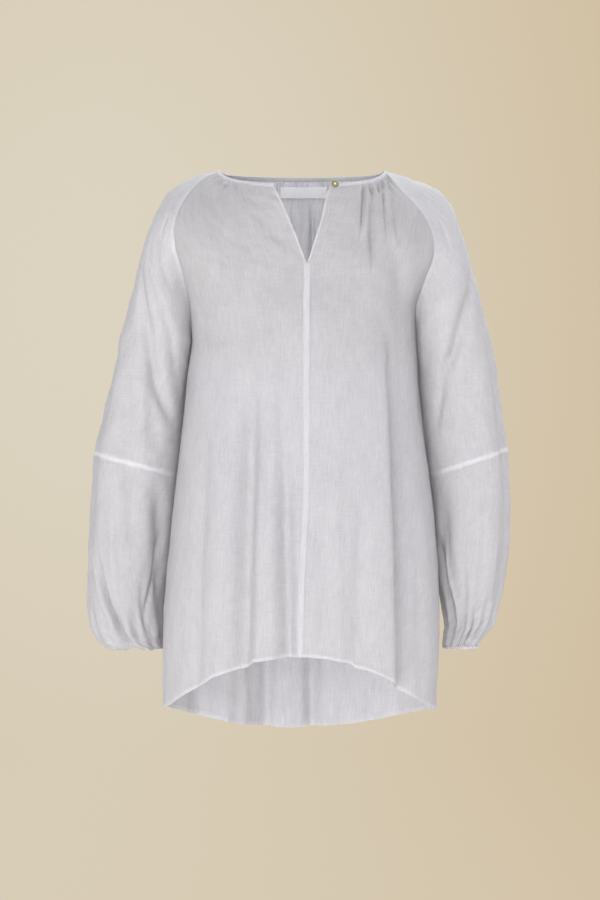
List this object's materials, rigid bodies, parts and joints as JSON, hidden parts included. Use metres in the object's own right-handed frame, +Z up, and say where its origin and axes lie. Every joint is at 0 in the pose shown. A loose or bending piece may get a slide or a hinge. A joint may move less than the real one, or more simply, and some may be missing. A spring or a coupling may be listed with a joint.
{
  "type": "blouse",
  "caption": "Oversized linen blouse with a button-loop slit neck, raglan balloon sleeves and a dipped back hem, filled out as worn.",
  "frame": {"origin": "middle of the neck opening, level with the shoulders that the cloth rests on", "axes": "+Z up, +X to the viewer's right (the wearer's left), -Y the front"},
  "size_m": [0.5982, 0.2865, 0.7959],
  "materials": {
    "body_linen": "matte off-white linen, slubby plain weave, slightly sheer",
    "sleeve_linen": "matte off-white linen, slubby plain weave, slightly sheer",
    "edging": "doubled linen strip, matte, topstitched",
    "label_cloth": "bare woven ribbon with a faint satin sheen",
    "button_shell": "polished shell with a raised rim, olive-gold edge"
  },
  "bodies": {
    "root": {"front_left": "body_linen", "front_right": "body_linen", "back_left": "body_linen", "back_right": "body_linen", "upper_sleeve_left": "sleeve_linen", "upper_sleeve_right": "sleeve_linen", "lower_sleeve_left": "sleeve_linen", "lower_sleeve_right": "sleeve_linen", "cuff_left": "edging", "cuff_right": "edging", "neck_binding": "edging", "front_seam_band": "edging", "button_loop": "edging", "neck_label": "label_cloth", "button": "button_shell"}
  },
  "joints": []
}
